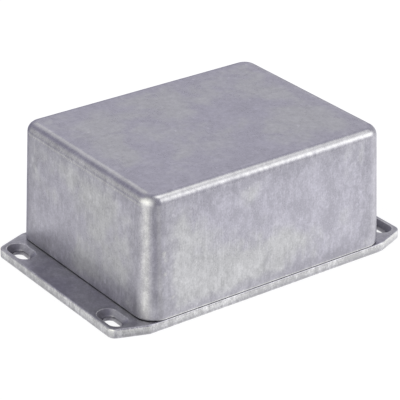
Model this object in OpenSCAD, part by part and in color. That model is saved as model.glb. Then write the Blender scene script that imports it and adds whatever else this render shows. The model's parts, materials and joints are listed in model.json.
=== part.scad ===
// Die cast aluminium box with a flanged lid.
//
// Three kinds of piece: a deep body casting with drafted walls and a corner
// boss at each upright corner, a flat lid casting whose two short ends run out
// into mounting flanges with recessed slots, and four countersunk screws that
// go up through the lid into the bosses. The box stands on its lid.
//
// X runs along the short side, Y along the long side and the two flanges, Z up.
// The origin is the middle of the lid's underside.

/* [Body] */
// Length of the body casting at the joint with the lid
body_length = 120; // [100:0.5:180]
// Width of the body casting at the joint with the lid
body_width = 94.8; // [85:0.1:130]
// Height of the closed box, lid included
box_height = 56.5; // [40:0.5:70]
// Thickness of the side walls
side_wall = 2.4; // [2:0.1:3]
// Thickness of the top wall
top_wall = 2.6; // [2:0.1:4]
// Draft of the side walls in degrees
draft = 2.5; // [1:0.1:2.8]
// Radius of the upright corners at the joint with the lid
corner_r = 8.8; // [8:0.1:10]
// Radius of the rounded edge around the top
top_edge_r = 4.2; // [3:0.1:4.5]
// Radius of the inside edge under the top wall
inner_edge_r = 2.2; // [1.5:0.1:2.4]

/* [Lid] */
// Thickness of the lid at its edge and in the flanges
lid_t = 4.3; // [4:0.1:6]
// How far the lid's long edges stand back from the body
lid_inset = 0.3; // [0:0.05:0.6]
// Length over both flanges
flange_length = 146; // [144:0.5:150]
// Width of each flange at its outer end
flange_end_width = 83.2; // [80:0.2:90]
// Length of the lid's straight long edges, between the flange tapers
straight_length = 117; // [112:0.5:118]
// Corner radius at the outer ends of the flanges
flange_corner_r = 3.5; // [2:0.1:5]
// Blend radius where each taper leaves the long edge
taper_blend_r = 6; // [3:0.5:10]
// Depth of the shallow pocket inside the lid
pocket_depth = 1.6; // [0.5:0.1:1.8]
// Height of the locating ribs above the joint
rib_height = 2; // [1:0.1:3]
// Thickness of the locating ribs
rib_t = 1.8; // [1.2:0.1:2.5]
// Gap between the locating ribs and the body's walls
rib_gap = 0.4; // [0.2:0.05:0.8]

/* [Mounting slots] */
// Distance between slot centres along a flange
slot_pitch_x = 67; // [60:0.5:68]
// Distance between slot centres from flange to flange
slot_pitch_y = 134.1; // [133.5:0.1:134.5]
// Width of the slots
slot_w = 4.8; // [4:0.1:5]
// Length of the slots from end to end
slot_l = 9.4; // [8:0.1:10]
// Width of the recess around each slot, at the top of the flange
recess_w = 9.2; // [8.5:0.1:9.3]
// Length of the recess from end to end, at the top of the flange
recess_l = 15.8; // [13:0.1:16]
// Width of the recess at its floor
recess_floor_w = 5.2; // [5:0.1:6]
// Thickness left under the recess
recess_floor = 2.3; // [1.5:0.1:3]

/* [Lid screws] */
// Distance between the lid screws across the box
screw_pitch_x = 81; // [78:0.5:82]
// Distance between the lid screws along the box
screw_pitch_y = 106; // [103:0.5:107]
// Nominal diameter of the screws
screw_d = 4; // [3.5:0.1:4.2]
// Diameter of the countersunk heads
head_d = 8; // [7:0.1:8.4]
// Overall length of the screws
screw_l = 12; // [10:0.5:16]
// How far the heads sit below the lid's underside
head_sink = 0.25; // [0.1:0.05:0.4]
// Clearance hole in the lid
clear_d = 4.5; // [4.3:0.1:4.8]
// Radius of the corner bosses
boss_r = 4.8; // [4.5:0.1:5.2]
// Gap all round between the screw and its tapped hole
thread_gap = 0.05; // [0.02:0.01:0.1]

/* [Hidden] */
$fn = 96;
cast = [0.67, 0.67, 0.70];
cast_dark = [0.60, 0.60, 0.63];
steel = [0.78, 0.79, 0.80];
body_h = box_height - lid_t;
eps = 0.01;

// ---- drafted boxes ----------------------------------------------------------

// Half section of a drafted wall: x from 0 to r0 at the foot, leaning in by the
// draft angle, with a rounded top edge of radius rt. The rounding reaches a hair
// past the wall's line, so that the two cross at one clear point.
module wall_section(r0, h, rt) {
    hair = 0.002;
    cx = r0 - rt / cos(draft) - (h - rt) * tan(draft) + hair;
    intersection() {
        polygon([[0, 0], [r0, 0], [r0 - h * tan(draft), h], [0, h]]);
        union() {
            square([r0 + 1, h - rt + rt * sin(draft)]);
            translate([cx, h - rt]) circle(r = rt);
            square([cx, h]);
        }
    }
}

// Box of length l along Y and width w along X with drafted sides, upright
// corners of radius r at the foot and a rounded top edge.
module drafted_box(w, l, h, r, rt) {
    ax = w / 2 - r;
    ay = l / 2 - r;
    // middle slab across the full width
    for (s = [0, 1]) mirror([s, 0, 0])
        translate([ax, ay, 0]) rotate([90, 0, 0])
            linear_extrude(2 * ay) wall_section(r, h, rt);
    translate([-ax, -ay, 0]) cube([2 * ax, 2 * ay, h]);
    // the two end blocks
    for (s = [0, 1]) mirror([0, s, 0])
        translate([-ax, ay, 0]) rotate([90, 0, 90])
            linear_extrude(2 * ax) wall_section(r, h, rt);
    // the four corners
    for (sx = [0, 1], sy = [0, 1]) mirror([sx, 0, 0]) mirror([0, sy, 0])
        translate([ax, ay, 0]) rotate_extrude(angle = 90) wall_section(r, h, rt);
}

// ---- flat plate with rounded corners --------------------------------------------

function unit(v) = v / norm(v);
function left_of(v) = [-v.y, v.x];
function at(p, i) = p[(i + len(p)) % len(p)];
function into(p, i) = unit(at(p, i) - at(p, i - 1));
function out_of(p, i) = unit(at(p, i + 1) - at(p, i));
// how far the arc of radius r at corner i reaches back along both edges
function setback(p, r, i) = r * tan(acos(min(1, into(p, i) * out_of(p, i))) / 2);
function arc_start(p, r, i) = p[i] - into(p, i) * setback(p, r, i);
function arc_end(p, r, i) = p[i] + out_of(p, i) * setback(p, r, i);
function arc_centre(p, r, i) = arc_start(p, r, i) + left_of(into(p, i)) * r;

// Plate of thickness h over the outline p, given anticlockwise, with each sharp
// corner i trimmed back to the radius r[i].
module rounded_plate(p, r, h) {
    difference() {
        linear_extrude(h) polygon(p);
        for (i = [0:len(p) - 1]) {
            c = arc_centre(p, r[i], i);
            translate([0, 0, -1]) linear_extrude(h + 2) difference() {
                polygon([c, c + 1.2 * (arc_start(p, r[i], i) - c),
                         c + 1.2 * (p[i] - c), c + 1.2 * (arc_end(p, r[i], i) - c)]);
                translate(c) circle(r = r[i]);
            }
        }
    }
}

// ---- slots and bosses -----------------------------------------------------------

// Upright slot along X with round ends.
module slot_prism(l, w, h) {
    for (s = [-1, 1]) translate([s * (l - w) / 2, 0, 0]) cylinder(d = w, h = h);
    translate([-(l - w) / 2, -w / 2, 0]) cube([l - w, w, h]);
}

// Recess along X whose walls slope in towards its floor: a cone at each end
// and a wedge between them. It carries on upwards past the depth h.
module sloped_recess(l, w, floor_w, h) {
    run = (w - floor_w) / 2 / h;
    up = h + 1;
    for (s = [-1, 1]) translate([s * (l - w) / 2, 0, 0])
        cylinder(r1 = floor_w / 2, r2 = floor_w / 2 + run * up, h = up);
    translate([-(l - w) / 2, 0, 0]) rotate([90, 0, 90]) linear_extrude(l - w)
        polygon([[-floor_w / 2, 0], [floor_w / 2, 0],
                 [floor_w / 2 + run * up, up], [-floor_w / 2 - run * up, up]]);
}

module at_corners(px, py) {
    for (sx = [0, 1], sy = [0, 1]) mirror([sx, 0, 0]) mirror([0, sy, 0])
        translate([px / 2, py / 2, 0]) children();
}

// Corner boss: rounded on the side that faces the middle of the box and
// filled out to both walls.
module corner_boss(h) {
    cylinder(r = boss_r, h = h);
    translate([-boss_r, 0, 0]) cube([boss_r + 12, 12, h]);
    translate([0, -boss_r, 0]) cube([12, boss_r + 12, h]);
}

// ---- the pieces -------------------------------------------------------------------

// Body casting: an open-bottomed drafted shell with four full height bosses,
// each with a blind hole for a lid screw.
module body() {
    hole_depth = screw_l + head_sink - lid_t + 2;
    hole_r = screw_d / 2 + thread_gap;
    color(cast) translate([0, 0, lid_t]) difference() {
        drafted_box(body_width, body_length, body_h, corner_r, top_edge_r);
        difference() {
            translate([0, 0, -eps])
                drafted_box(body_width - 2 * side_wall, body_length - 2 * side_wall,
                            body_h - top_wall + eps, corner_r - side_wall, inner_edge_r);
            translate([0, 0, -1]) at_corners(screw_pitch_x, screw_pitch_y)
                corner_boss(body_h + 2);
        }
        at_corners(screw_pitch_x, screw_pitch_y) {
            translate([0, 0, -1]) cylinder(r = hole_r, h = hole_depth + 1);
            translate([0, 0, hole_depth]) cylinder(r1 = hole_r, r2 = 0, h = hole_r * 0.6);
        }
    }
}

// Outline of the lid, anticlockwise from the right hand long edge.
lx = body_width / 2 - lid_inset;
ly = straight_length / 2;
fx = flange_end_width / 2;
fy = flange_length / 2;
lid_outline = [[lx, -ly], [lx, ly], [fx, fy], [-fx, fy],
               [-lx, ly], [-lx, -ly], [-fx, -fy], [fx, -fy]];
lid_radii = [taper_blend_r, taper_blend_r, flange_corner_r, flange_corner_r,
             taper_blend_r, taper_blend_r, flange_corner_r, flange_corner_r];

// Lid casting: plate and flanges in one, slots with a wider recess on top,
// countersunk screw holes from below, and four low ribs that locate the body.
module lid() {
    in_x = body_width / 2 - side_wall - rib_gap;
    in_y = body_length / 2 - side_wall - rib_gap;
    clear_x = screw_pitch_x / 2 - boss_r - 1;
    clear_y = screw_pitch_y / 2 - boss_r - 1;
    cone_h = (head_d - clear_d) / 2 + head_sink;
    color(cast_dark) {
        difference() {
            rounded_plate(lid_outline, lid_radii, lid_t);
            at_corners(slot_pitch_x, slot_pitch_y) {
                translate([0, 0, -1]) slot_prism(slot_l, slot_w, lid_t + 2);
                translate([0, 0, recess_floor])
                    sloped_recess(recess_l, recess_w, recess_floor_w, lid_t - recess_floor);
            }
            at_corners(screw_pitch_x, screw_pitch_y) {
                translate([0, 0, -1]) cylinder(d = clear_d, h = lid_t + 2);
                translate([0, 0, -1])
                    cylinder(r1 = head_d / 2 + head_sink + 1, r2 = clear_d / 2, h = cone_h + 1);
            }
            // shallow pocket, clear of the bosses
            translate([-clear_x - 4, -clear_y, lid_t - pocket_depth])
                cube([2 * clear_x + 8, 2 * clear_y, pocket_depth + 1]);
        }
        for (s = [0, 1]) {
            mirror([s, 0, 0]) translate([in_x - rib_t, -clear_y, lid_t - eps])
                cube([rib_t, 2 * clear_y, rib_height + eps]);
            mirror([0, s, 0]) translate([-clear_x, in_y - rib_t, lid_t - eps])
                cube([2 * clear_x, rib_t, rib_height + eps]);
        }
    }
}

// One countersunk screw with a cross recess, head down, thread upwards.
module csk_screw() {
    cone_h = (head_d - screw_d) / 2;
    difference() {
        union() {
            cylinder(r1 = head_d / 2, r2 = screw_d / 2, h = cone_h);
            translate([0, 0, cone_h]) cylinder(d = screw_d, h = screw_l - cone_h - 0.6);
            translate([0, 0, screw_l - 0.6])
                cylinder(r1 = screw_d / 2, r2 = screw_d / 2 - 0.6, h = 0.6);
        }
        for (a = [0, 90]) rotate(a + 45)
            translate([-2.1, -0.45, -1]) cube([4.2, 0.9, 2.5]);
        translate([0, 0, -1]) cylinder(d = 1.7, h = 2.8);
    }
}

// The four lid screws, each with its head flush in the lid's underside.
module lid_screws() {
    color(steel) translate([0, 0, head_sink])
        at_corners(screw_pitch_x, screw_pitch_y) csk_screw();
}

body();
lid();
lid_screws();
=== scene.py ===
"""Die cast aluminium box on its flanged lid: visual model, studio and camera."""
import json
import math

import bmesh
import bpy
import numpy as np
from mathutils import Matrix, Vector, noise
from mathutils.geometry import delaunay_2d_cdt

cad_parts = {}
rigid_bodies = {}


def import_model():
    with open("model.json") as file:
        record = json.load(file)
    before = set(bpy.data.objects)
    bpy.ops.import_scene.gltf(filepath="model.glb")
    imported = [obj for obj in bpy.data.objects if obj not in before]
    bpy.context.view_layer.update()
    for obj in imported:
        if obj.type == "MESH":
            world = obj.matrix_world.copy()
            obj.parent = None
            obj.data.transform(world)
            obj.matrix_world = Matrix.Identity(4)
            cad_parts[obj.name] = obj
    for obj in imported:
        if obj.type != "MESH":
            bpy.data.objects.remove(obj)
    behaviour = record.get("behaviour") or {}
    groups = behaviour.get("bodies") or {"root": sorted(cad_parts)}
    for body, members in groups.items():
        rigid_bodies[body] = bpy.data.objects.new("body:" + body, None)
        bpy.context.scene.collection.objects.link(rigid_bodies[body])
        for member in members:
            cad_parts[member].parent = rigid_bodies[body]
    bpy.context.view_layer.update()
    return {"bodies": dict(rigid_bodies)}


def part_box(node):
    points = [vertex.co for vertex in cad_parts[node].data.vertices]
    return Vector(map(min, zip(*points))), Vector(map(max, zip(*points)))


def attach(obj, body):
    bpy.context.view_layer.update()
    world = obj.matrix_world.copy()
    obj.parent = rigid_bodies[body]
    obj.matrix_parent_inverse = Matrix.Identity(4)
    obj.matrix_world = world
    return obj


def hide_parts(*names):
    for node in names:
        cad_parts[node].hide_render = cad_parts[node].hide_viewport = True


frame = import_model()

MM = 0.001
body_lo, body_hi = (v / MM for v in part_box("body"))
lid_lo, lid_hi = (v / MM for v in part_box("lid"))
screws_lo, screws_hi = (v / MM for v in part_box("lid_screws"))
BODY = sorted(frame["bodies"])[0]

# ---- sizes in millimetres, the same as the construction model ---------------------
Z0 = body_lo.z                      # joint between the lid and the body, 4.3
Z1 = body_hi.z                      # top of the box, 56.5
HALF_W, HALF_L = body_hi.x, body_hi.y
DRAFT = math.tan(math.radians(2.5))
CORNER_R, TOP_R = 8.8, 4.2          # upright corners at the joint, edge round the top
AX, AY = HALF_W - CORNER_R, HALF_L - CORNER_R
WALL, TOP_WALL, INNER_R = 2.4, 2.6, 2.2
SCREW_X, SCREW_Y = 40.5, 53.0
BOSS_R = 4.8
LID_T = Z0
FLANGE_Y = lid_hi.y                 # 73
SLOT_X, SLOT_Y = 33.5, 67.05
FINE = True


# ---- a small mesh builder --------------------------------------------------------

class Build:
    """Collects points (mm), faces and a value per point for wear and painted light, then makes one clean closed mesh.
    """

    def __init__(self, rim=None):
        self.v, self.f, self.w = [], [], []
        self.rim = rim or (lambda p: 20.0)   # distance in mm from a point to the border of its face

    def ring(self, pts, wear_and_painted_light=0.0):
        first = len(self.v)
        self.v.extend(tuple(p) for p in pts)
        self.w.extend([wear_and_painted_light] * len(pts) if isinstance(wear_and_painted_light, (int, float)) else wear_and_painted_light)
        return list(range(first, len(self.v)))

    def loft(self, a, b):
        n = len(a)
        for i in range(n):
            j = (i + 1) % n
            self.f.append((a[i], a[j], b[j], b[i]))

    def lofts(self, rings):
        for a, b in zip(rings, rings[1:]):
            self.loft(a, b)

    def cap_to_point(self, ring, p, wear_and_painted_light=0.0):
        c = self.ring([p], wear_and_painted_light)[0]
        n = len(ring)
        for i in range(n):
            self.f.append((ring[i], ring[(i + 1) % n], c))

    def fill(self, outer, holes, spacing, wear_and_painted_light=0.0):
        """Even triangles over a flat area at one height, between a loop and the holes in it."""
        loops = [outer] + list(holes)
        ids = [i for loop in loops for i in loop]
        xy = [Vector((self.v[i][0], self.v[i][1])) for i in ids]
        z = self.v[outer[0]][2]
        edges, at = [], 0
        polys = []
        for loop in loops:
            n = len(loop)
            edges += [(at + k, at + (k + 1) % n) for k in range(n)]
            polys.append(np.array([(p.x, p.y) for p in xy[at:at + n]]))
            at += n
        lo, hi = polys[0].min(0), polys[0].max(0)
        rows = max(2, int((hi[1] - lo[1]) / (spacing * 0.866)))
        grid = []
        for r in range(1, rows):
            y = lo[1] + (hi[1] - lo[1]) * r / rows
            off = 0.5 * spacing if r % 2 else 0.0
            grid += [(x, y) for x in np.arange(lo[0] + off, hi[0], spacing)]
        grid = np.array(grid).reshape(-1, 2)
        if len(grid):
            keep = inside(grid, polys[0])
            for h in polys[1:]:
                keep &= ~inside(grid, h)
            grid = grid[keep]
        if len(grid):
            every = np.concatenate(polys)
            near = np.full(len(grid), 1e9)
            for k in range(0, len(every), 400):
                d = np.hypot(grid[:, None, 0] - every[None, k:k + 400, 0],
                             grid[:, None, 1] - every[None, k:k + 400, 1]).min(1)
                near = np.minimum(near, d)
            grid = grid[near > 0.55 * spacing]
        pts = xy + [Vector(p) for p in grid]
        out_v, _, out_f, src, _, _ = delaunay_2d_cdt(pts, edges, [], 0, 1e-5)
        index = []
        for k, p in enumerate(out_v):
            old = [s for s in src[k] if s < len(ids)]
            if old:
                index.append(ids[old[0]])
            else:
                index.append(self.ring([(p.x, p.y, z)], wear_and_painted_light)[0])
        cent = np.array([sum((Vector(out_v[i]) for i in f), Vector((0, 0))) / len(f) for f in out_f])
        keep = inside(cent, polys[0])
        for h in polys[1:]:
            keep &= ~inside(cent, h)
        for f, k in zip(out_f, keep):
            if k:
                self.f.append(tuple(index[i] for i in f))

    def make(self, name, material, node, sharp_deg=32.0):
        me = bpy.data.meshes.new(name)
        me.from_pydata([(x * MM, y * MM, z * MM) for x, y, z in self.v], [], self.f)
        att = me.attributes.new("wear_and_painted_light", "FLOAT", "POINT")
        att.data.foreach_set("value", np.array(self.w, np.float32))
        att = me.attributes.new("rim", "FLOAT", "POINT")
        att.data.foreach_set("value", np.array([self.rim(p) for p in self.v], np.float32))
        bm = bmesh.new()
        bm.from_mesh(me)
        bmesh.ops.remove_doubles(bm, verts=bm.verts, dist=2e-7)
        bmesh.ops.dissolve_degenerate(bm, edges=bm.edges, dist=1e-7)
        loose = [v for v in bm.verts if not v.link_faces]
        bmesh.ops.delete(bm, geom=loose, context="VERTS")
        bmesh.ops.recalc_face_normals(bm, faces=bm.faces)
        open_edges = sum(1 for e in bm.edges if len(e.link_faces) != 2)
        volume = bm.calc_volume(signed=True)
        limit = math.radians(sharp_deg)
        for f in bm.faces:
            f.smooth = True
        for e in bm.edges:
            if len(e.link_faces) == 2 and e.calc_face_angle(0.0) > limit:
                e.smooth = False
        bm.to_mesh(me)
        bm.free()
        print(f"MESH {name}: {len(me.vertices)} points, {len(me.polygons)} faces, "
              f"{open_edges} open edges, {volume * 1e9:.0f} mm3")
        ob = bpy.data.objects.new(name, me)
        bpy.context.scene.collection.objects.link(ob)
        me.materials.append(material)
        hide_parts(node)
        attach(ob, BODY)
        return ob


def inside(p, poly):
    """Which of the points lie inside the closed polygon."""
    x, y = p[:, 0], p[:, 1]
    res = np.zeros(len(p), bool)
    n = len(poly)
    for i in range(n):
        x0, y0 = poly[i]
        x1, y1 = poly[(i + 1) % n]
        if y0 == y1:
            continue
        cross = (y0 > y) != (y1 > y)
        res ^= cross & (x < (x1 - x0) * (y - y0) / (y1 - y0) + x0)
    return res


def line(a, b, n):
    """n points from a towards b, b left out."""
    return [tuple(a[k] + (b[k] - a[k]) * i / n for k in range(2)) for i in range(n)]


def arc(cx, cy, r, a0, a1, n):
    """n points along an arc, the last left out."""
    return [(cx + r * math.cos(math.radians(a0 + (a1 - a0) * i / n)),
             cy + r * math.sin(math.radians(a0 + (a1 - a0) * i / n))) for i in range(n)]


def at_height(pts, z):
    return [(x, y, z) for x, y in pts]


def circle(cx, cy, r, n, turn=0.0):
    return arc(cx, cy, r, turn, turn + 360, n)


def stadium(cx, cy, half, r, n=18, along=5):
    """Slot outline along X: straight for half each way, with round ends of radius r."""
    pts = line((cx - half, cy - r), (cx + half, cy - r), along)
    pts += arc(cx + half, cy, r, -90, 90, n)
    pts += line((cx + half, cy + r), (cx - half, cy + r), along)
    pts += arc(cx - half, cy, r, 90, 270, n)
    return pts


def rect(x0, x1, y0, y1, r, step=3.0, n=3):
    nx = max(1, round((x1 - x0 - 2 * r) / step))
    ny = max(1, round((y1 - y0 - 2 * r) / step))
    pts = line((x0 + r, y0), (x1 - r, y0), nx) + arc(x1 - r, y0 + r, r, -90, 0, n)
    pts += line((x1, y0 + r), (x1, y1 - r), ny) + arc(x1 - r, y1 - r, r, 0, 90, n)
    pts += line((x1 - r, y1), (x0 + r, y1), nx) + arc(x0 + r, y1 - r, r, 90, 180, n)
    pts += line((x0, y1 - r), (x0, y0 + r), ny) + arc(x0 + r, y0 + r, r, 180, 270, n)
    return pts


# ---- the body casting ------------------------------------------------------------

NX, NY, NC = (44, 58, 20) if FINE else (22, 29, 12)


def body_outline(rho):
    """Rounded rectangle whose corner centres stay put while the radius changes."""
    pts = line((AX + rho, -AY), (AX + rho, AY), NY) + arc(AX, AY, rho, 0, 90, NC)
    pts += line((AX, AY + rho), (-AX, AY + rho), NX) + arc(-AX, AY, rho, 90, 180, NC)
    pts += line((-AX - rho, AY), (-AX - rho, -AY), NY) + arc(-AX, -AY, rho, 180, 270, NC)
    pts += line((-AX, -AY - rho), (AX, -AY - rho), NX) + arc(AX, -AY, rho, 270, 360, NC)
    return pts


def cavity_outline(rho):
    """Inner outline of the body with the corner bosses standing in it."""
    wx, wy = AX + rho, AY + rho
    bx, by = SCREW_X, SCREW_Y
    pts = []
    quarter = (line((wx, 0.0), (wx, by - BOSS_R), 16)
               + line((wx, by - BOSS_R), (bx, by - BOSS_R), 3)
               + arc(bx, by, BOSS_R, -90, -180, 12)
               + line((bx - BOSS_R, by), (bx - BOSS_R, wy), 3)
               + line((bx - BOSS_R, wy), (0.0, wy), 12))
    pts += quarter
    # the second quarter runs the other way, so that the loop goes on anticlockwise
    second = ([(0.0, wy)] + [(-x, y) for x, y in reversed(quarter[1:])])
    pts += second
    half = pts
    pts = half + [(-x, -y) for x, y in half]
    return pts


def smooth(t):
    t = min(1.0, max(0.0, t))
    return t * t * (3 - 2 * t)


def table(rows, x):
    """Straight line interpolation in (x, value) rows."""
    for (x0, v0), (x1, v1) in zip(rows, rows[1:]):
        if x <= x1:
            return v0 + (v1 - v0) * max(0.0, (x - x0) / (x1 - x0))
    return rows[-1][1]


# wear and painted light against the slope of the surface (degrees, 0 = upright) over the long and the short top edges:
# worn edges partly painted as highlights, and on the short edges painted dark lines of shade between painted
# highlights
LONG_EDGE = [(0, 0.3), (10, 0.5), (25, 0.7), (45, 1.0), (60, 0.9), (72, 0.3), (84, 0.1), (90, 0.1)]
SHORT_EDGE = [(0, 1.0), (6, 0.8), (12, 0.2), (20, 0.9), (36, 0.9), (44, 0.4), (51, -0.2), (57, 0.2), (64, 0.9),
              (80, 1.0), (90, 0.7)]
# wear and painted light against the turn of an upright corner (degrees, 0 = long side, 90 = short side): a painted
# reflection as a bright band in its middle, painted shade as dark bands beside it
CORNER_EDGE = [(0, 0.0), (12, -0.03), (22, -0.18), (34, -0.18), (42, 0.3), (50, 0.65), (60, 0.6), (75, 0.25),
               (82, -0.15), (90, 0.0)]


# small scuffs on the long side, near one corner: y, height above the foot, reach
SCUFFS = [(-51.2, 28.0, 1.6), (-50.4, 25.2, 1.4), (-51.2, 19.5, 1.2), (-48.2, 8.5, 1.2), (-40.0, 7.0, 1.0)]


def waviness(x, y, z, amount, size):
    p = Vector((x / size, y / size, z / size))
    return amount * min(1.0, max(0.0, 0.5 + 0.7 * noise.noise(p)))


def body_rim(p):
    """Distance from a point on the outside to the nearest border of its flat face."""
    x, y, z = abs(p[0]), abs(p[1]), p[2]
    if z > Z1 - 0.3:
        return max(0.0, min(AX + 2.5 - x, AY + 2.5 - y, 20.0))
    if x > AX + 1.5 and y > AY + 1.5:
        return 0.0
    side = AY - y if x > AX + 1.5 else AX - x
    return max(0.0, min(side, Z1 - TOP_R - z, (z - Z0 - 0.9) * 1.6, 20.0))


def make_body(material):
    b = Build(body_rim)
    h = Z1 - Z0
    lip, lip_in = 0.8, 0.42                      # worn edge round the foot: height and depth
    cx = CORNER_R - TOP_R / math.cos(math.atan(DRAFT)) - (h - TOP_R) * DRAFT
    profile = []                                 # rho, z, wear
    # the third value of each profile row is wear and painted light; the foot's rounded edge is made bright, partly
    # worn, partly a painted highlight for the bright line above the joint
    for k in range(9):
        a = math.radians(-90 + 90 * k / 8)
        z = lip + lip * math.sin(a)
        profile.append((CORNER_R - z * DRAFT - lip_in + lip_in * math.cos(a), z, (0.3, 0.6, 0.9, 1.0, 1.0, 0.9, 0.7, 0.5, 0.35)[k]))
    nz = 36 if FINE else 16
    z_top = h - TOP_R + TOP_R * math.sin(math.atan(DRAFT))
    for k in range(1, nz + 1):
        t = k / nz
        z = lip + (z_top - lip) * t
        profile.append((CORNER_R - z * DRAFT, z, 0.45 if k == nz else 0.0))
    nf = 18 if FINE else 10
    for k in range(1, nf + 1):
        a = math.atan(DRAFT) + (math.pi / 2 - math.atan(DRAFT)) * k / nf
        profile.append((cx + TOP_R * math.cos(a), h - TOP_R + TOP_R * math.sin(a), table(LONG_EDGE, math.degrees(a))))
    profile += [(cx - 0.5, h, 0.0), (cx - 1.4, h, 0.0), (0.0, h, 0.0)]
    rings = []
    for rho, z, wear_and_painted_light in profile:
        pts, worn_and_painted_light = [], []
        for x, y in body_outline(rho):
            # upright corners get a painted reflection band along their middle and painted shade bands beside it; the
            # short top edges get painted dark lines of shade and painted highlights
            turn = math.degrees(math.atan2(max(abs(y) - AY, 0.0), max(abs(x) - AX, 0.0))) if rho > 0 else 0.0
            w = wear_and_painted_light
            if 0 < z < h - TOP_R:
                w = max(w, table(CORNER_EDGE, turn)) if w > 0 else table(CORNER_EDGE, turn)
                if x > AX:
                    w = max([w] + [1.15 * math.exp(-((y - sy) ** 2 + (z - sz) ** 2) / r ** 2) for sy, sz, r in SCUFFS])
            elif z >= h - TOP_R and turn > 60:
                slope = math.degrees(math.asin(min(1.0, (z - h + TOP_R) / TOP_R)))
                w += (table(SHORT_EDGE, slope) - w) * smooth((turn - 60) / 25) if rho > cx - 0.3 else 0.0
            worn_and_painted_light.append(w)
            # castings are never quite flat: a few hundredths inwards, none at the foot or where it is measured
            fade = min(1.0, z / 8.0)
            d = waviness(x, y, z, 0.05 * fade, 11.0)
            if z >= h - 0.01:
                pts.append((x, y, Z0 + z - d))
            else:
                r = math.hypot(max(abs(x) - AX, 0.0), max(abs(y) - AY, 0.0)) or 1.0
                nx = math.copysign(max(abs(x) - AX, 0.0) / r, x)
                ny = math.copysign(max(abs(y) - AY, 0.0) / r, y)
                blend = max(0.0, (z - (h - TOP_R)) / TOP_R)
                pts.append((x - nx * d * (1 - blend), y - ny * d * (1 - blend), Z0 + z - d * blend))
        rings.append(b.ring(pts, worn_and_painted_light))
    b.lofts(rings)
    # flat of the top: a grid that meets the innermost ring
    top = {}
    for i in range(NX + 1):
        for j in range(NY + 1):
            x, y = -AX + 2 * AX * i / NX, -AY + 2 * AY * j / NY
            d = waviness(x, y, h, 0.05, 11.0)
            top[i, j] = b.ring([(x, y, Z0 + h - d)])[0]
    for i in range(NX):
        for j in range(NY):
            b.f.append((top[i, j], top[i + 1, j], top[i + 1, j + 1], top[i, j + 1]))
    # the cavity
    ch = h - TOP_WALL
    r0 = CORNER_R - WALL
    ccx = r0 - INNER_R / math.cos(math.atan(DRAFT)) - (ch - INNER_R) * DRAFT
    inner = []
    for k in range(17):
        z = (ch - INNER_R) * k / 16
        inner.append((r0 - z * DRAFT, z))
    for k in range(1, 8):
        a = math.radians(90 * k / 7)
        if k == 7:
            inner.append((ccx, ch))
        else:
            inner.append((ccx + INNER_R * math.cos(a), ch - INNER_R + INNER_R * math.sin(a)))
    irings = [b.ring(at_height(cavity_outline(rho), Z0 + z)) for rho, z in inner]
    b.lofts(irings)
    b.fill(irings[-1], [], 5.0)
    # foot with the four blind screw holes
    holes = []
    for sx in (1, -1):
        for sy in (1, -1):
            x, y = sx * SCREW_X, sy * SCREW_Y
            prof = [(2.3, 0.0), (2.05, 0.25), (2.05, 5.0), (2.05, 9.95)]
            rr = [b.ring(at_height(circle(x, y, r, 32), Z0 + z)) for r, z in prof]
            b.lofts(rr)
            b.cap_to_point(rr[-1], (x, y, Z0 + 9.95 + 1.23))
            holes.append(rr[0])
    b.fill(rings[0], [irings[0]] + holes, 2.5)
    return b.make("body_shell", material, "body")


# ---- the lid casting --------------------------------------------------------------

def lid_outline():
    """Points and outward directions round the lid, anticlockwise."""
    lx, ly, fx, fy = HALF_W - 0.3, 58.5, 41.6, FLANGE_Y
    p = [(lx, -ly), (lx, ly), (fx, fy), (-fx, fy), (-lx, ly), (-lx, -ly), (-fx, -fy), (fx, -fy)]
    rad = [6.0, 6.0, 3.5, 3.5, 6.0, 6.0, 3.5, 3.5]
    n = len(p)
    segs = []
    for i in range(n):
        a, c, d = (Vector(p[(i + k) % n]) for k in (-1, 0, 1))
        u, v = (c - a).normalized(), (d - c).normalized()
        turn = math.acos(max(-1.0, min(1.0, u.dot(v))))
        back = rad[i] * math.tan(turn / 2)
        start = c - u * back
        centre = start + Vector((-u.y, u.x)) * rad[i]
        a0 = math.atan2(start.y - centre.y, start.x - centre.x)
        segs.append((centre, rad[i], a0, turn, start, c + v * back))
    out = []
    for i in range(n):
        centre, r, a0, turn, start, end = segs[i]
        m = max(4, round(math.degrees(turn) / 5))
        for k in range(m + 1):
            a = a0 + turn * k / m
            d = Vector((math.cos(a), math.sin(a)))
            out.append((centre + d * r, d))
        nxt = segs[(i + 1) % n][4]
        length = (nxt - end).length
        m = max(1, round(length / 2.0))
        v = (nxt - end).normalized()
        d = Vector((v.y, -v.x))
        bow = 0.004 if abs(d.x * d.y) > 0.05 else 0.0    # keeps points of a slanted edge from lining up exactly
        for k in range(1, m):
            out.append((end + (nxt - end) * k / m + d * bow * 4 * k * (m - k) / (m * m), d))
    return out


LAND_IN = 1.45                      # the raised land that the body stands on, in from the body's outline
SINK = 0.24                         # what shows of the lid's top lies this far below the land


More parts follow.
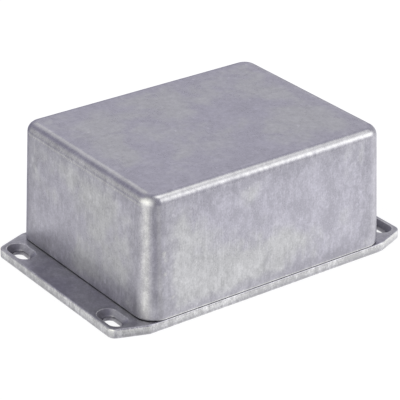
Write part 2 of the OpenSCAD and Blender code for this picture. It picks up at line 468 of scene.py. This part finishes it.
def make_lid(material):
    b = Build()
    outline = lid_outline()
    top = LID_T - SINK
    low = 0.4                                    # worn edge round the underside
    # worn upper edge: rounder along the sides than round the flanges
    high = [0.6 + 0.45 * (1 - smooth((abs(p.y) - 53.0) / 6.0)) for p, n in outline]
    high_in = [0.6 + 0.25 * (1 - smooth((abs(p.y) - 53.0) / 6.0)) for p, n in outline]
    zeros = [0.0] * len(outline)

    def edge_ring(ds, zs, wear_and_painted_light):
        return b.ring([(p.x - n.x * d, p.y - n.y * d, z) for (p, n), d, z in zip(outline, ds, zs)], wear_and_painted_light)

    def level(v):
        return [v] * len(outline)

    edge = [edge_ring(level(low + 0.15), zeros, 0.2)]
    # round the underside edge and up the side face the values paint light and shade: lighter at the underside edge,
    # painted shade low on the side face, a painted highlight near its top
    for k in range(6):
        a = math.radians(90 * k / 5)
        edge.append(edge_ring(level(low - low * math.sin(a)), level(low - low * math.cos(a)),
                              (0.3, 0.4, 0.3, 0.1, -0.1, -0.25)[k]))
    for k in range(1, 6):
        edge.append(edge_ring(zeros, [low + (top - low - h) * k / 6 for h in high],
                              (-0.3, -0.15, 0.05, 0.3, 0.6)[k - 1]))
    along = [1 - smooth((abs(p.y) - 55.0) / 4.0) for p, n in outline]     # 1 beside the body, 0 on the flanges
    # the upper rounding: beside the body a painted highlight low on it and painted shade above, for the dark joint
    # under the body's foot, and the top ring there in painted shade too; round the flanges bright low on it, partly
    # worn, partly a painted highlight
    for k in range(10):
        a = math.radians(90 * k / 9)
        free = (0.7, 0.8, 0.9, 0.9, 0.8, 0.6, 0.4, 0.2, 0.0, -0.1)[k]
        under = (0.7, 0.9, 1.0, 0.9, 0.0, -1.0, -1.0, -1.0, -1.0, -1.0)[k]
        edge.append(edge_ring([d - d * math.cos(a) for d in high_in],
                              [top - h + h * math.sin(a) for h in high],
                              [free + (under - free) * t for t in along]))
    edge.append(edge_ring([d + 0.08 for d in high_in], level(top), [-0.3 - 0.7 * t for t in along]))
    b.lofts(edge)

    top_holes, bottom_holes, flange_holes = [], [], []
    # mounting slots: a wide bowl from above, then the slot itself; half length, radius, height, wear and painted light
    # value
    rim = 0.5
    slope = (9.2 - 5.2) / 2 / (LID_T - 2.3)      # of the recess walls: run over rise
    lean = math.atan(slope)
    side = 2.6 + (top - 2.3) * slope             # where the wall would meet the top
    back = rim * math.tan((math.pi / 2 - lean) / 2)
    # the values paint a highlight on the rounded rim, partly worn, and painted shade down the bowl and the slot walls
    bowl = [(3.3, side + back + 0.08, top, -0.1)]
    for k in range(7):
        a = (math.pi / 2 - lean) * k / 6
        bowl.append((3.3, side + back - rim * math.sin(a), top - rim + rim * math.cos(a),
                     (0.5, 0.8, 1.0, 1.0, 0.7, 0.3, -0.1)[k]))
    r0, z0 = bowl[-1][1:3]
    for k in range(1, 9):
        bowl.append((3.3 - 0.7 * k / 9, r0 + (2.66 - r0) * k / 9, z0 + (2.36 - z0) * k / 9, -0.25 - 0.25 * k / 9))
    bowl += [(2.5, 2.60, 2.28, -0.3), (2.4, 2.52, 2.12, -0.3), (2.33, 2.46, 1.9, -0.5), (2.3, 2.44, 1.5, -0.6),
             (2.3, 2.43, 1.0, -0.6), (2.3, 2.43, 0.5, -0.5), (2.3, 2.43, 0.2, -0.2)]
    for k in range(1, 4):
        a = math.radians(90 * k / 3)
        bowl.append((2.3, 2.43 + 0.2 * (1 - math.cos(a)), 0.2 - 0.2 * math.sin(a), 0.5))
    bowl.append((2.3, 2.43 + 0.3, 0.0, 0.1))
    for sx in (1, -1):
        for sy in (1, -1):
            rr = []
            for s, r, z, w in bowl:
                pts = at_height(stadium(sx * SLOT_X, sy * SLOT_Y, s, r), z)
                # painted shade is added at one end of each recess and along its outer wall
                end = [max(0.0, (sx * SLOT_X - s - x) / r) for x, y, z in pts]
                out = [max(0.0, (y - sy * SLOT_Y) * sy / r) for x, y, z in pts]
                rr.append(b.ring(pts, [w - (0.5 * e + 0.35 * o) * (w < 0) for e, o in zip(end, out)]))
            b.lofts(rr)
            flange_holes.append(rr[0])
            bottom_holes.append(rr[-1])
    # countersunk screw holes from below
    for sx in (1, -1):
        for sy in (1, -1):
            x, y = sx * SCREW_X, sy * SCREW_Y
            prof = [(4.45, 0.0, 0.3), (4.3, 0.04, 0.6), (4.15, 0.1, 0.3), (3.2, 1.05, 0.0), (2.25, 2.0, 0.2),
                    (2.25, 3.2, 0.0), (2.25, LID_T - 0.15, 0.2), (2.4, LID_T, 0.2)]
            rr = [b.ring(at_height(circle(x, y, r, 40), z), w) for r, z, w in prof]
            b.lofts(rr)
            bottom_holes.append(rr[0])
            top_holes.append(rr[-1])
    # locating ribs
    clear_x, clear_y = SCREW_X - BOSS_R - 1, SCREW_Y - BOSS_R - 1
    in_x, in_y = HALF_W - WALL - 0.4, HALF_L - WALL - 0.4
    for x0, x1, y0, y1 in ((in_x - 1.8, in_x, -clear_y, clear_y), (-in_x, -in_x + 1.8, -clear_y, clear_y),
                           (-clear_x, clear_x, in_y - 1.8, in_y), (-clear_x, clear_x, -in_y, -in_y + 1.8)):
        rr = []
        for d, z, w in ((0.0, LID_T, 0.0), (0.0, LID_T + 1.8, 0.2), (0.06, LID_T + 1.94, 0.5),
                        (0.2, LID_T + 2.0, 0.4)):
            rr.append(b.ring(at_height(rect(x0 + d, x1 - d, y0 + d, y1 - d, 0.25), z), w))
        b.lofts(rr)
        b.fill(rr[-1], [], 3.0)
        top_holes.append(rr[0])
    # shallow pocket
    rr = []
    for d, z in ((0.0, LID_T), (0.0, LID_T - 1.3), (0.1, LID_T - 1.51), (0.3, LID_T - 1.6)):
        rr.append(b.ring(at_height(rect(-clear_x - 4 + d, clear_x + 4 - d, -clear_y + d, clear_y - d, 0.6), z)))
    b.lofts(rr)
    b.fill(rr[-1], [], 5.0)
    top_holes.append(rr[0])
    # the land under the body's foot, its visible edge in painted shade for the dark joint
    land = [b.ring(at_height(body_outline(CORNER_R - LAND_IN + d), z), w)
            for d, z, w in ((0.06, top, -0.8), (0.0, top + 0.06, -0.8), (0.0, LID_T - 0.08, -0.6), (-0.08, LID_T, -0.3))]
    b.lofts(land)
    # the lid top round the land and the flanges gets a little painted shade, value -0.3
    b.fill(edge[-1], [land[0]] + flange_holes, 1.5 if FINE else 3.0, -0.3)
    b.fill(land[-1], top_holes, 3.0 if FINE else 5.0)
    b.fill(edge[0], bottom_holes, 3.0 if FINE else 6.0)
    return b.make("lid_plate", material, "lid")


# ---- the lid screws --------------------------------------------------------------

def cross_outline(cx, cy, reach, half, turn, n=3):
    """Outline of a cross recess: four arms of the given reach and half width."""
    pts = []
    for q in range(4):
        a = turn + math.pi / 2 * q
        ca, sa = math.cos(a), math.sin(a)
        local = (line((half, -half), (reach - 0.25, -half), n) + arc(reach - 0.25, -half + 0.25, 0.25, -90, 0, 3)
                 + arc(reach - 0.25, half - 0.25, 0.25, 0, 90, 3)
                 + line((reach - 0.25, half), (half, half), n))
        pts += [(cx + x * ca - y * sa, cy + x * sa + y * ca) for x, y in local]
    return pts


def make_screw(name, x, y, turn, material):
    b = Build()
    zh = 0.25                                # the head sits this far below the lid's underside
    na = 44 if FINE else 24
    pitch, major, minor = 0.7, 1.995, 1.62

    def ring(r, z, wear_and_painted_light=0.0):
        return b.ring(at_height(circle(x, y, r, na), z), wear_and_painted_light)

    head = [ring(3.78, zh, 0.3), ring(3.86, zh + 0.02, 0.7), ring(3.9, zh + 0.1, 0.7), ring(3.2, zh + 0.8),
            ring(2.4, zh + 1.6), ring(2.0, zh + 2.0, 0.2)]
    b.lofts(head)
    prev = head[-1]
    z_start, z_end = zh + 2.0, zh + 12.0
    steps = int((z_end - z_start) / (pitch / (10 if FINE else 5)))
    for k in range(1, steps + 1):
        z = z_start + (z_end - z_start) * k / steps
        grow = min(1.0, max(0.0, (z - z_start - 0.5) / 0.7))
        tip = max(0.0, (z - (z_end - 0.6)) / 0.6)
        pts = []
        for i in range(na):
            a = 2 * math.pi * i / na
            ph = (z / pitch - a / (2 * math.pi)) % 1.0
            ridge = min(1.0, max(0.0, (0.5 - abs(ph - 0.5)) * 2 * 1.6 - 0.25))
            full = major - (major - minor) * grow * (1 - ridge)
            r = min(full, major - 0.6 * tip)
            pts.append((x + r * math.cos(a), y + r * math.sin(a), z))
        cur = b.ring(pts, 0.3)
        b.loft(prev, cur)
        prev = cur
    b.cap_to_point(prev, (x, y, z_end))
    # cross recess, narrower towards its floor
    rec = []
    for reach, half, dz in ((2.1, 0.45, 0.0), (2.0, 0.42, 0.12), (1.55, 0.36, 0.8), (0.95, 0.3, 1.5)):
        rec.append(b.ring(at_height(cross_outline(x, y, reach, half, turn), zh + dz), 0.5 if dz < 0.2 else 0.0))
    b.lofts(rec)
    b.cap_to_point(rec[-1], (x, y, zh + 1.62))
    b.fill(head[0], [rec[0]], 0.7)
    return b.make(name, material, "lid_screws", 28.0)


# ---- materials -------------------------------------------------------------------

class Nodes:
    def __init__(self, name):
        self.mat = bpy.data.materials.new(name)
        self.mat.use_nodes = True
        self.nt = self.mat.node_tree
        self.nt.nodes.clear()
        self.out = self.nt.nodes.new("ShaderNodeOutputMaterial")
        self.bsdf = self.nt.nodes.new("ShaderNodeBsdfPrincipled")
        self.link(self.bsdf.outputs[0], self.out.inputs["Surface"])
        self.coord = self.nt.nodes.new("ShaderNodeTexCoord").outputs["Object"]

    def link(self, a, b):
        self.nt.links.new(a, b)

    def new(self, kind, **props):
        n = self.nt.nodes.new(kind)
        for k, v in props.items():
            setattr(n, k, v)
        return n

    def put(self, socket, value):
        if isinstance(value, bpy.types.NodeSocket):
            self.link(value, socket)
        else:
            socket.default_value = value

    def scaled(self, sx, sy, sz, offset=(0, 0, 0), turn=(0, 0, 0)):
        """Object coordinates in millimetres times the given scale."""
        m = self.new("ShaderNodeMapping")
        m.inputs["Scale"].default_value = (sx * 1000, sy * 1000, sz * 1000)
        m.inputs["Location"].default_value = offset
        m.inputs["Rotation"].default_value = turn
        self.link(self.coord, m.inputs["Vector"])
        return m.outputs[0]

    def noise(self, vector, detail=3.0, rough=0.5, distortion=0.0):
        n = self.new("ShaderNodeTexNoise")
        n.inputs["Scale"].default_value = 1.0
        n.inputs["Detail"].default_value = detail
        n.inputs["Roughness"].default_value = rough
        n.inputs["Distortion"].default_value = distortion
        self.link(vector, n.inputs["Vector"])
        return n.outputs["Fac"]

    def math(self, op, a, b=0.0, c=0.0, clamp=False):
        n = self.new("ShaderNodeMath", operation=op, use_clamp=clamp)
        for s, v in zip(n.inputs, (a, b, c)):
            self.put(s, v)
        return n.outputs[0]

    def span(self, value, lo, hi, to_lo=0.0, to_hi=1.0, smooth=True):
        n = self.new("ShaderNodeMapRange", interpolation_type="SMOOTHSTEP" if smooth else "LINEAR")
        for k, v in zip(("Value", "From Min", "From Max", "To Min", "To Max"), (value, lo, hi, to_lo, to_hi)):
            self.put(n.inputs[k], v)
        return n.outputs[0]

    def mix(self, fac, a, b):
        n = self.new("ShaderNodeMix", data_type="RGBA")
        self.put(n.inputs["Factor"], fac)
        for s, v in ((n.inputs["A"], a), (n.inputs["B"], b)):
            pass
        ins = [s for s in n.inputs if s.type == "RGBA"]
        self.put(ins[0], a if isinstance(a, bpy.types.NodeSocket) else (*a, 1.0))
        self.put(ins[1], b if isinstance(b, bpy.types.NodeSocket) else (*b, 1.0))
        return [s for s in n.outputs if s.type == "RGBA"][0]

    def shade(self, colour, value):
        """Colour times a grey value."""
        n = self.new("ShaderNodeVectorMath", operation="SCALE")
        self.link(colour, n.inputs[0])
        self.put(n.inputs["Scale"], value)
        return n.outputs[0]

    def wear_and_painted_light(self):
        return self.new("ShaderNodeAttribute", attribute_name="wear_and_painted_light").outputs["Fac"]

    def normal_parts(self):
        g = self.new("ShaderNodeNewGeometry")
        s = self.new("ShaderNodeSeparateXYZ")
        self.link(g.outputs["Normal"], s.inputs[0])
        return s.outputs

    def bump(self, height, millimetres, normal=None, strength=1.0):
        n = self.new("ShaderNodeBump")
        n.inputs["Strength"].default_value = strength
        n.inputs["Distance"].default_value = millimetres * MM
        self.link(height, n.inputs["Height"])
        if normal is not None:
            self.link(normal, n.inputs["Normal"])
        return n.outputs[0]


def cast_metal(name, cool, pale, bright, rough, rough_edge, foot_rough=0.0, side_pale=0.0, mottle=1.0, streaks=1.0, seed=0.0):
    """Raw die cast aluminium: soft mottling, flow streaks down the walls, fine grain, burnished edges partly painted
    as highlights, and painted shade in the recesses and the joint.
    """
    m = Nodes(name)
    o = (seed, seed * 1.7, seed * 0.6)
    wear_and_painted_light = m.wear_and_painted_light()
    nz = m.normal_parts()[2]
    wall = m.span(m.math("ABSOLUTE", nz), 0.25, 0.75, 1.0, 0.0)
    broad = m.noise(m.scaled(0.030, 0.030, 0.030, o), 3.0, 0.5, 0.4)
    cloud = m.noise(m.scaled(0.11, 0.11, 0.075, o), 4.0, 0.6, 0.6)
    fleck = m.noise(m.scaled(0.42, 0.42, 0.30, o), 3.0, 0.6, 0.3)
    grain = m.noise(m.scaled(1.5, 1.5, 1.3, o), 3.0, 0.6)
    dust = m.noise(m.scaled(5.0, 5.0, 5.0, o), 2.0, 0.6)
    # flow streaks: narrow across, long up the wall, in loose groups
    flow = m.noise(m.scaled(0.95, 0.95, 0.055, o), 3.0, 0.65, 0.35)
    fine_flow = m.noise(m.scaled(2.1, 2.1, 0.11, o), 2.0, 0.6)
    groups = m.span(m.noise(m.scaled(0.07, 0.07, 0.05, (seed + 9, 3, 5)), 2.0, 0.5), 0.36, 0.64)
    # value of the metal around 1
    much = m.math("MULTIPLY_ADD", wall, 0.35 * mottle, 0.80 * mottle)
    d = m.math("MULTIPLY", m.math("SUBTRACT", broad, 0.5), 0.25)
    d = m.math("MULTIPLY_ADD", m.math("SUBTRACT", cloud, 0.5), 0.48, d)
    d = m.math("MULTIPLY_ADD", m.math("SUBTRACT", fleck, 0.5), 0.52, d)
    d = m.math("MULTIPLY_ADD", m.math("SUBTRACT", grain, 0.5), 0.60, d)
    v = m.math("MULTIPLY_ADD", d, much, 1.0)
    s = m.math("ADD", m.math("MULTIPLY", m.math("SUBTRACT", flow, 0.5), 0.30 * streaks),
               m.math("MULTIPLY", m.math("SUBTRACT", fine_flow, 0.5), 0.30 * streaks))
    s = m.math("MULTIPLY", m.math("MULTIPLY", s, wall), m.math("MULTIPLY_ADD", groups, 0.75, 0.25))
    v = m.math("ADD", v, s)
    # tiny bright nicks, scattered
    vor = m.new("ShaderNodeTexVoronoi", feature="F1")
    vor.inputs["Scale"].default_value = 1.0
    m.link(m.scaled(0.16, 0.16, 0.12, o), vor.inputs["Vector"])
    pick = m.new("ShaderNodeSeparateXYZ")
    m.link(vor.outputs["Color"], pick.inputs[0])
    nick = m.math("MULTIPLY", m.span(vor.outputs["Distance"], 0.05, 0.14, 1.0, 0.0),
                  m.math("GREATER_THAN", pick.outputs[0], 0.86))
    v = m.math("MULTIPLY_ADD", nick, 0.22, v)
    v = m.math("SMOOTH_MAX", v, 0.84, 0.10)      # no pepper: the dark side of the mottling is shallow
    # the middle of each face is paler than its borders
    rim = m.new("ShaderNodeAttribute", attribute_name="rim").outputs["Fac"]
    reach = m.math("MULTIPLY_ADD", m.math("SUBTRACT", cloud, 0.5), 16.0, rim)
    reach = m.math("MULTIPLY_ADD", m.math("SUBTRACT", fleck, 0.5), 6.0, reach)
    centre = m.span(reach, 0.5, 8.0)
    dull = m.math("MULTIPLY", m.math("SUBTRACT", 1.0, centre), m.math("MULTIPLY_ADD", wall, 0.10, 0.03))
    v = m.math("MULTIPLY", v, m.math("SUBTRACT", 1.0, dull))
    tint = m.span(m.math("ADD", m.math("MULTIPLY", broad, 0.7), m.math("MULTIPLY", cloud, 0.3)), 0.42, 0.58)
    tint = m.math("MULTIPLY", tint, m.math("MULTIPLY_ADD", centre, 0.75, 0.25))
    tint = m.math("MAXIMUM", tint, m.math("MULTIPLY", wall, side_pale))
    colour = m.mix(tint, cool, pale)
    # worn edges and painted highlights: towards the bright colour where the per point value is positive
    rubbed_and_painted_highlight = m.math("MULTIPLY", wear_and_painted_light, m.span(m.math("ADD", m.math("MULTIPLY", fleck, 0.5),
                                                  m.math("MULTIPLY", wear_and_painted_light, 0.5)), 0.3, 0.75), clamp=True)
    colour = m.mix(rubbed_and_painted_highlight, colour, bright)
    # painted shade, darker and bluer, in the recesses, in the joint and in bands along some edges, where the per point
    # value is negative
    painted_shade = m.math("MULTIPLY", wear_and_painted_light, -1.0, clamp=True)
    painted_shade = m.math("MULTIPLY", painted_shade, m.span(m.math("ADD", cloud, m.math("MULTIPLY", grain, 0.5)), 0.45, 0.95, 0.45, 0.68))
    v = m.math("MULTIPLY", v, m.math("SUBTRACT", 1.0, painted_shade))
    colour = m.mix(m.math("MULTIPLY", painted_shade, 1.2, clamp=True), colour, (0.50, 0.48, 0.57))
    m.link(m.shade(colour, v), m.bsdf.inputs["Base Color"])
    r = m.math("MULTIPLY_ADD", m.math("SUBTRACT", cloud, 0.5), 0.14, rough)
    r = m.math("MULTIPLY_ADD", m.math("SUBTRACT", grain, 0.5), 0.16, r)
    r = m.math("MULTIPLY_ADD", rubbed_and_painted_highlight, rough_edge - rough, r)
    height = m.new("ShaderNodeSeparateXYZ")
    m.link(m.scaled(1.0, 1.0, 1.0), height.inputs[0])
    low = m.span(m.math("MULTIPLY_ADD", m.math("SUBTRACT", cloud, 0.5), 12.0, height.outputs[2]), 5.0, 18.0, 1.0, 0.0)
    r = m.math("MULTIPLY_ADD", m.math("MULTIPLY", low, wall), foot_rough, r)
    r = m.math("MULTIPLY_ADD", nick, -0.03, r)
    r = m.math("MULTIPLY_ADD", painted_shade, 0.25, r)
    m.link(m.math("MINIMUM", m.math("MAXIMUM", r, 0.12), 0.85), m.bsdf.inputs["Roughness"])
    m.bsdf.inputs["Metallic"].default_value = 1.0
    relief = m.bump(fleck, 0.018)
    relief = m.bump(grain, 0.008, relief)
    relief = m.bump(m.math("MULTIPLY", flow, wall), 0.010, relief)
    relief = m.bump(dust, 0.0025, relief)
    m.link(relief, m.bsdf.inputs["Normal"])
    return m.mat


def zinc_steel(name):
    """Bright plated steel with fine turning marks and small scuffs."""
    m = Nodes(name)
    wear_and_painted_light = m.wear_and_painted_light()
    blot = m.noise(m.scaled(0.5, 0.5, 0.5), 3.0, 0.6)
    lines = m.noise(m.scaled(1.2, 1.2, 9.0), 2.0, 0.6)
    grain = m.noise(m.scaled(6.0, 6.0, 6.0), 2.0, 0.6)
    v = m.math("MULTIPLY_ADD", m.math("SUBTRACT", blot, 0.5), 0.22, 1.0)
    v = m.math("MULTIPLY_ADD", m.math("SUBTRACT", lines, 0.5), 0.16, v)
    colour = m.mix(m.span(blot, 0.35, 0.65), (0.60, 0.61, 0.64), (0.70, 0.70, 0.69))
    colour = m.mix(m.math("MULTIPLY", wear_and_painted_light, 0.6), colour, (0.80, 0.80, 0.80))
    m.link(m.shade(colour, v), m.bsdf.inputs["Base Color"])
    r = m.math("MULTIPLY_ADD", m.math("SUBTRACT", blot, 0.5), 0.2, 0.30)
    r = m.math("MULTIPLY_ADD", m.math("SUBTRACT", grain, 0.5), 0.12, r)
    m.link(m.math("MAXIMUM", r, 0.12), m.bsdf.inputs["Roughness"])
    m.bsdf.inputs["Metallic"].default_value = 1.0
    m.link(m.bump(grain, 0.002, m.bump(lines, 0.003)), m.bsdf.inputs["Normal"])
    return m.mat


BODY_METAL = cast_metal("cast_body", cool=(0.495, 0.487, 0.540), pale=(0.515, 0.518, 0.522),
                        bright=(0.64, 0.64, 0.63), rough=0.31, rough_edge=0.23, foot_rough=0.12)
LID_METAL = cast_metal("cast_lid", cool=(0.495, 0.487, 0.540), pale=(0.515, 0.518, 0.522),
                       bright=(0.67, 0.67, 0.66), rough=0.33, rough_edge=0.25, side_pale=0.9, mottle=1.8, streaks=1.0,
                       seed=7.0)
STEEL = zinc_steel("plated_steel")

make_body(BODY_METAL)
make_lid(LID_METAL)
for k, (sx, sy, turn) in enumerate(((1, 1, 0.62), (-1, 1, 1.15), (-1, -1, 0.2), (1, -1, 0.95))):
    make_screw(f"lid_screw_{k + 1}", sx * SCREW_X, sy * SCREW_Y, turn, STEEL)


# ---- studio ----------------------------------------------------------------------

def floor():
    """A plain pale floor, seen from above only, so that the underside can be looked at too."""
    bm = bmesh.new()
    bmesh.ops.create_grid(bm, x_segments=8, y_segments=8, size=4.0)
    me = bpy.data.meshes.new("floor")
    bm.to_mesh(me)
    bm.free()
    ob = bpy.data.objects.new("floor", me)
    ob.location = (0, 0, -0.0002)
    bpy.context.scene.collection.objects.link(ob)
    mat = bpy.data.materials.new("pale_floor")
    mat.use_nodes = True
    nt = mat.node_tree
    nt.nodes.clear()
    out = nt.nodes.new("ShaderNodeOutputMaterial")
    dif = nt.nodes.new("ShaderNodeBsdfDiffuse")
    dif.inputs["Color"].default_value = (0.26, 0.26, 0.26, 1)
    glow = nt.nodes.new("ShaderNodeEmission")
    glow.inputs["Color"].default_value = (1, 1, 1, 1)
    glow.inputs["Strength"].default_value = FLOOR_GLOW
    add = nt.nodes.new("ShaderNodeAddShader")
    clear = nt.nodes.new("ShaderNodeBsdfTransparent")
    geo = nt.nodes.new("ShaderNodeNewGeometry")
    mix = nt.nodes.new("ShaderNodeMixShader")
    nt.links.new(dif.outputs[0], add.inputs[0])
    nt.links.new(glow.outputs[0], add.inputs[1])
    nt.links.new(geo.outputs["Backfacing"], mix.inputs[0])
    nt.links.new(add.outputs[0], mix.inputs[1])
    nt.links.new(clear.outputs[0], mix.inputs[2])
    nt.links.new(mix.outputs[0], out.inputs["Surface"])
    me.materials.append(mat)
    ob.visible_glossy = False
    ob.visible_diffuse = False
    ob.visible_shadow = False
    return ob


# Soft lights round the object: azimuth and elevation in degrees (azimuth 0 is +X, 90 is +Y), how
# narrow each is, and its colour. Those below the horizon are the bright table seen in the metal.
FILL = (0.155, 0.143, 0.250)
LIGHTS = [
    (71, -45, 3.1, (1.49, 1.50, 1.37)),
    (146, 40, 7.6, (0.63, 0.63, 0.58)),
    (-82, 10, 3.4, (1.96, 1.98, 1.70)),
    (-152, -44, 13.5, (0.91, 0.92, 0.80)),
    (48, 22, 18, (2.12, 2.13, 2.04)),
    (62, 65, 30, (1.66, 1.67, 1.57)),
    (2, -31, 41, (0.53, 0.54, 0.40)),
]


def world():
    """A pale even fill with a few wide soft lights on it. The camera itself sees plain white."""
    w = bpy.data.worlds.new("studio")
    bpy.context.scene.world = w
    w.use_nodes = True
    nt = w.node_tree
    nt.nodes.clear()

    def node(kind, **props):
        n = nt.nodes.new(kind)
        for k, v in props.items():
            setattr(n, k, v)
        return n

    way = node("ShaderNodeTexCoord").outputs["Generated"]
    total = node("ShaderNodeCombineXYZ")
    for s, v in zip(total.inputs, FILL):
        s.default_value = v
    total = total.outputs[0]
    for azimuth, elevation, narrow, colour in LIGHTS:
        a, e = math.radians(azimuth), math.radians(elevation)
        dot = node("ShaderNodeVectorMath", operation="DOT_PRODUCT")
        dot.inputs[1].default_value = (math.cos(a) * math.cos(e), math.sin(a) * math.cos(e), math.sin(e))
        nt.links.new(way, dot.inputs[0])
        fall = node("ShaderNodeMath", operation="MULTIPLY_ADD")
        fall.inputs[1].default_value = narrow
        fall.inputs[2].default_value = -narrow
        nt.links.new(dot.outputs["Value"], fall.inputs[0])
        glow = node("ShaderNodeMath", operation="EXPONENT")
        nt.links.new(fall.outputs[0], glow.inputs[0])
        lit = node("ShaderNodeVectorMath", operation="SCALE")
        lit.inputs[0].default_value = colour
        nt.links.new(glow.outputs[0], lit.inputs["Scale"])
        both = node("ShaderNodeVectorMath", operation="ADD")
        nt.links.new(total, both.inputs[0])
        nt.links.new(lit.outputs[0], both.inputs[1])
        total = both.outputs[0]
    fill = node("ShaderNodeBackground")
    nt.links.new(total, fill.inputs[0])
    back = node("ShaderNodeBackground")
    back.inputs[0].default_value = (1, 1, 1, 1)
    path = node("ShaderNodeLightPath")
    mix = node("ShaderNodeMixShader")
    out = node("ShaderNodeOutputWorld")
    nt.links.new(path.outputs["Is Camera Ray"], mix.inputs[0])
    nt.links.new(fill.outputs[0], mix.inputs[1])
    nt.links.new(back.outputs[0], mix.inputs[2])
    nt.links.new(mix.outputs[0], out.inputs["Surface"])


FLOOR_GLOW = 0.85
world()
floor()


def camera():
    az, el, roll = math.radians(53.748), math.radians(26.541), math.radians(0.319)
    dist, tx, ty, f_px = 825.184, -0.61, -2.974, 2004.455
    back = Vector((math.sin(az) * math.cos(el), -math.cos(az) * math.cos(el), math.sin(el)))
    right = Vector((math.cos(az), math.sin(az), 0))
    up = back.cross(right)
    r2 = right * math.cos(roll) + up * math.sin(roll)
    u2 = -right * math.sin(roll) + up * math.cos(roll)
    data = bpy.data.cameras.new("camera")
    data.sensor_width = 36.0
    data.lens = f_px * 36.0 / 400.0
    data.clip_start, data.clip_end = 0.05, 50.0
    ob = bpy.data.objects.new("camera", data)
    pos = (Vector((0, 0, 25)) + back * dist + r2 * tx + u2 * ty) * MM
    m = Matrix((r2, u2, back)).transposed().to_4x4()
    m.translation = pos
    ob.matrix_world = m
    bpy.context.scene.collection.objects.link(ob)
    bpy.context.scene.camera = ob


camera()
bpy.context.scene.view_settings.view_transform = "Standard"
bpy.context.scene.view_settings.look = "None"
